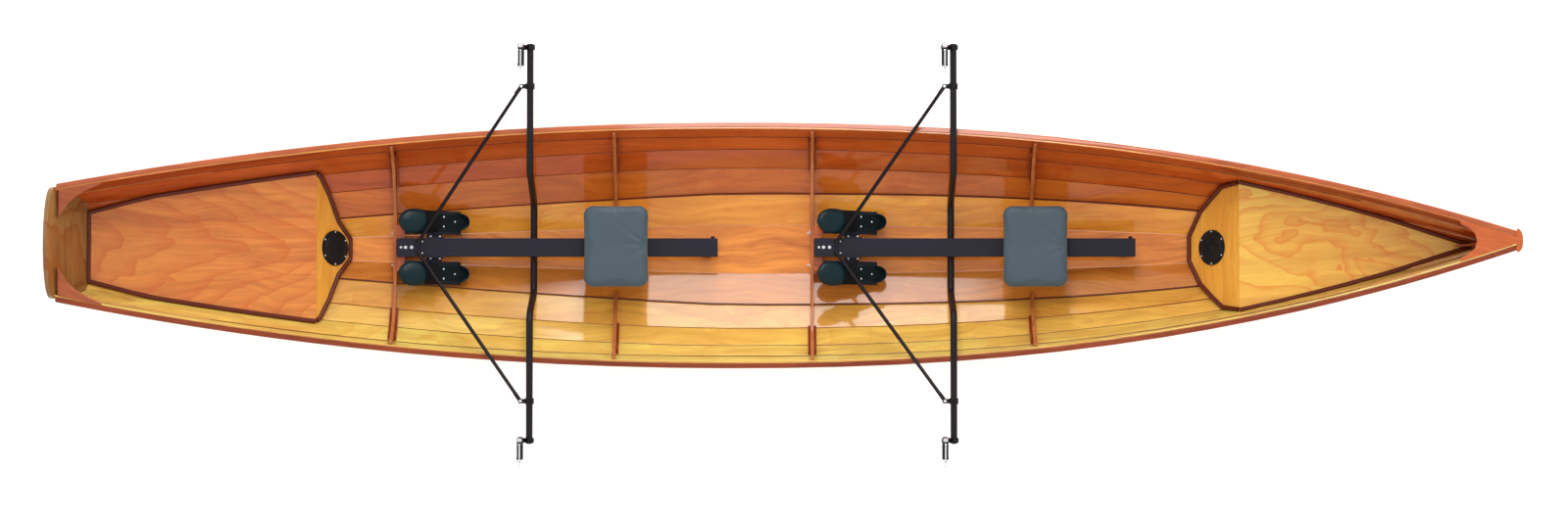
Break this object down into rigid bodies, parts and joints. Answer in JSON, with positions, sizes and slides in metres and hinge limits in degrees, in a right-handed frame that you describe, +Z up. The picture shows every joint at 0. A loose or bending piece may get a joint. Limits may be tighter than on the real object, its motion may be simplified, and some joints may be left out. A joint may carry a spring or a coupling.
{
  "type": "rowing wherry",
  "caption": "Long, narrow varnished plywood rowing boat with lapped planks, decked ends, sliding seats on rails, foot shoes and outrigger wing tubes with oarlocks.",
  "frame": {"origin": "on the underside of the flat run of the bottom panel, on the centreline", "axes": "+X towards the bow, +Y to port, +Z up"},
  "size_m": [5.969, 1.727, 0.6398],
  "materials": {
    "okoume_planks": "okoume plywood under gloss varnish",
    "okoume_decks": "figured okoume plywood under gloss varnish",
    "mahogany": "mahogany under gloss varnish",
    "transom_wood": "brown hardwood under gloss varnish",
    "black_anodised": "black anodised, satin",
    "stainless": "stainless steel, semi-bright",
    "black_plastic": "black moulded plastic",
    "shoe_plastic": "dark blue-green moulded plastic",
    "strap_webbing": "black webbing",
    "seat_vinyl": "grey-blue vinyl over foam, semi-matt",
    "wheel_nylon": "white nylon tread"
  },
  "bodies": {
    "hull": {"garboard_port": "okoume_planks", "second_port": "okoume_planks", "third_port": "okoume_planks", "fourth_port": "okoume_planks", "sheer_port": "okoume_planks", "garboard_starboard": "okoume_planks", "second_starboard": "okoume_planks", "third_starboard": "okoume_planks", "fourth_starboard": "okoume_planks", "sheer_starboard": "okoume_planks", "bottom_panel": "okoume_planks", "stem": "mahogany", "skeg": "mahogany", "outwale_port": "mahogany", "outwale_starboard": "mahogany", "breasthook": "mahogany", "quarter_knees": "mahogany", "frame_cheeks": "mahogany", "foot_frames": "mahogany", "side_frames": "mahogany", "stern_deck": "okoume_decks", "bow_deck": "okoume_decks", "stern_bulkhead": "okoume_decks", "bow_bulkhead": "okoume_decks", "transom": "transom_wood", "hatch_rings": "black_plastic", "aft_rail": "black_anodised", "fore_rail": "black_anodised", "rail_supports": "black_anodised", "foot_brackets": "black_anodised", "aft_wing_tube": "black_anodised", "fore_wing_tube": "black_anodised", "tube_saddles": "black_anodised", "aft_stays": "black_anodised", "fore_stays": "black_anodised", "stay_clamps": "black_anodised", "pin_brackets": "black_anodised", "oarlock_pins": "stainless", "fasteners": "stainless", "aft_shoes": "shoe_plastic", "fore_shoes": "shoe_plastic", "shoe_straps": "strap_webbing"},
    "aft_seat": {"aft_seat_frame": "stainless", "aft_seat_pad": "seat_vinyl"},
    "aft_rear_wheelset": {"aft_rear_wheels": "wheel_nylon"},
    "aft_front_wheelset": {"aft_front_wheels": "wheel_nylon"},
    "aft_port_lock": {"aft_port_oarlock": "black_plastic"},
    "aft_port_keeper": {"aft_port_gate": "stainless"},
    "aft_starboard_lock": {"aft_starboard_oarlock": "black_plastic"},
    "aft_starboard_keeper": {"aft_starboard_gate": "stainless"},
    "fore_seat": {"fore_seat_frame": "stainless", "fore_seat_pad": "seat_vinyl"},
    "fore_rear_wheelset": {"fore_rear_wheels": "wheel_nylon"},
    "fore_front_wheelset": {"fore_front_wheels": "wheel_nylon"},
    "fore_port_lock": {"fore_port_oarlock": "black_plastic"},
    "fore_port_keeper": {"fore_port_gate": "stainless"},
    "fore_starboard_lock": {"fore_starboard_oarlock": "black_plastic"},
    "fore_starboard_keeper": {"fore_starboard_gate": "stainless"},
    "stern_lid": {"stern_hatch_lid": "black_plastic"},
    "bow_lid": {"bow_hatch_lid": "black_plastic"}
  },
  "joints": [
    {"name": "aft_seat_slide", "type": "slide", "parent": "hull", "child": "aft_seat", "axis": [1, 0, 0], "range_m": [-0.43, 0.24]},
    {"name": "aft_rear_wheels_roll", "type": "hinge", "parent": "aft_seat", "child": "aft_rear_wheelset", "pos_m": [-0.769, 0, 0.1663], "axis": [0, 1, 0], "range_deg": [-1600, 900]},
    {"name": "aft_front_wheels_roll", "type": "hinge", "parent": "aft_seat", "child": "aft_front_wheelset", "pos_m": [-0.599, 0, 0.1663], "axis": [0, 1, 0], "range_deg": [-1600, 900]},
    {"name": "aft_port_swivel", "type": "hinge", "parent": "hull", "child": "aft_port_lock", "pos_m": [-1.063, 0.8, 0.451], "axis": [0, 0, 1], "continuous": true},
    {"name": "aft_port_gate_swing", "type": "hinge", "parent": "aft_port_lock", "child": "aft_port_keeper", "pos_m": [-1.063, 0.782, 0.499], "axis": [-1, 0, 0], "range_deg": [0, 100]},
    {"name": "aft_starboard_swivel", "type": "hinge", "parent": "hull", "child": "aft_starboard_lock", "pos_m": [-1.063, -0.8, 0.451], "axis": [0, 0, 1], "continuous": true},
    {"name": "aft_starboard_gate_swing", "type": "hinge", "parent": "aft_starboard_lock", "child": "aft_starboard_keeper", "pos_m": [-1.063, -0.818, 0.499], "axis": [-1, 0, 0], "range_deg": [0, 100]},
    {"name": "fore_seat_slide", "type": "slide", "parent": "hull", "child": "fore_seat", "axis": [1, 0, 0], "range_m": [-0.43, 0.24]},
    {"name": "fore_rear_wheels_roll", "type": "hinge", "parent": "fore_seat", "child": "fore_rear_wheelset", "pos_m": [0.953, 0, 0.1663], "axis": [0, 1, 0], "range_deg": [-1600, 900]},
    {"name": "fore_front_wheels_roll", "type": "hinge", "parent": "fore_seat", "child": "fore_front_wheelset", "pos_m": [1.123, 0, 0.1663], "axis": [0, 1, 0], "range_deg": [-1600, 900]},
    {"name": "fore_port_swivel", "type": "hinge", "parent": "hull", "child": "fore_port_lock", "pos_m": [0.659, 0.8, 0.451], "axis": [0, 0, 1], "continuous": true},
    {"name": "fore_port_gate_swing", "type": "hinge", "parent": "fore_port_lock", "child": "fore_port_keeper", "pos_m": [0.659, 0.782, 0.499], "axis": [-1, 0, 0], "range_deg": [0, 100]},
    {"name": "fore_starboard_swivel", "type": "hinge", "parent": "hull", "child": "fore_starboard_lock", "pos_m": [0.659, -0.8, 0.451], "axis": [0, 0, 1], "continuous": true},
    {"name": "fore_starboard_gate_swing", "type": "hinge", "parent": "fore_starboard_lock", "child": "fore_starboard_keeper", "pos_m": [0.659, -0.818, 0.499], "axis": [-1, 0, 0], "range_deg": [0, 100]},
    {"name": "stern_lid_lift", "type": "slide", "parent": "hull", "child": "stern_lid", "axis": [0.7547, 0, 0.6561], "range_m": [0, 0.12]},
    {"name": "bow_lid_lift", "type": "slide", "parent": "hull", "child": "bow_lid", "axis": [-0.7547, 0, 0.6561], "range_m": [0, 0.12]}
  ],
  "couplings": [
    {"joint": "aft_rear_wheels_roll", "follows": "aft_seat_slide", "rad_per_m": 62.5},
    {"joint": "aft_front_wheels_roll", "follows": "aft_seat_slide", "rad_per_m": 62.5},
    {"joint": "fore_rear_wheels_roll", "follows": "fore_seat_slide", "rad_per_m": 62.5},
    {"joint": "fore_front_wheels_roll", "follows": "fore_seat_slide", "rad_per_m": 62.5}
  ]
}
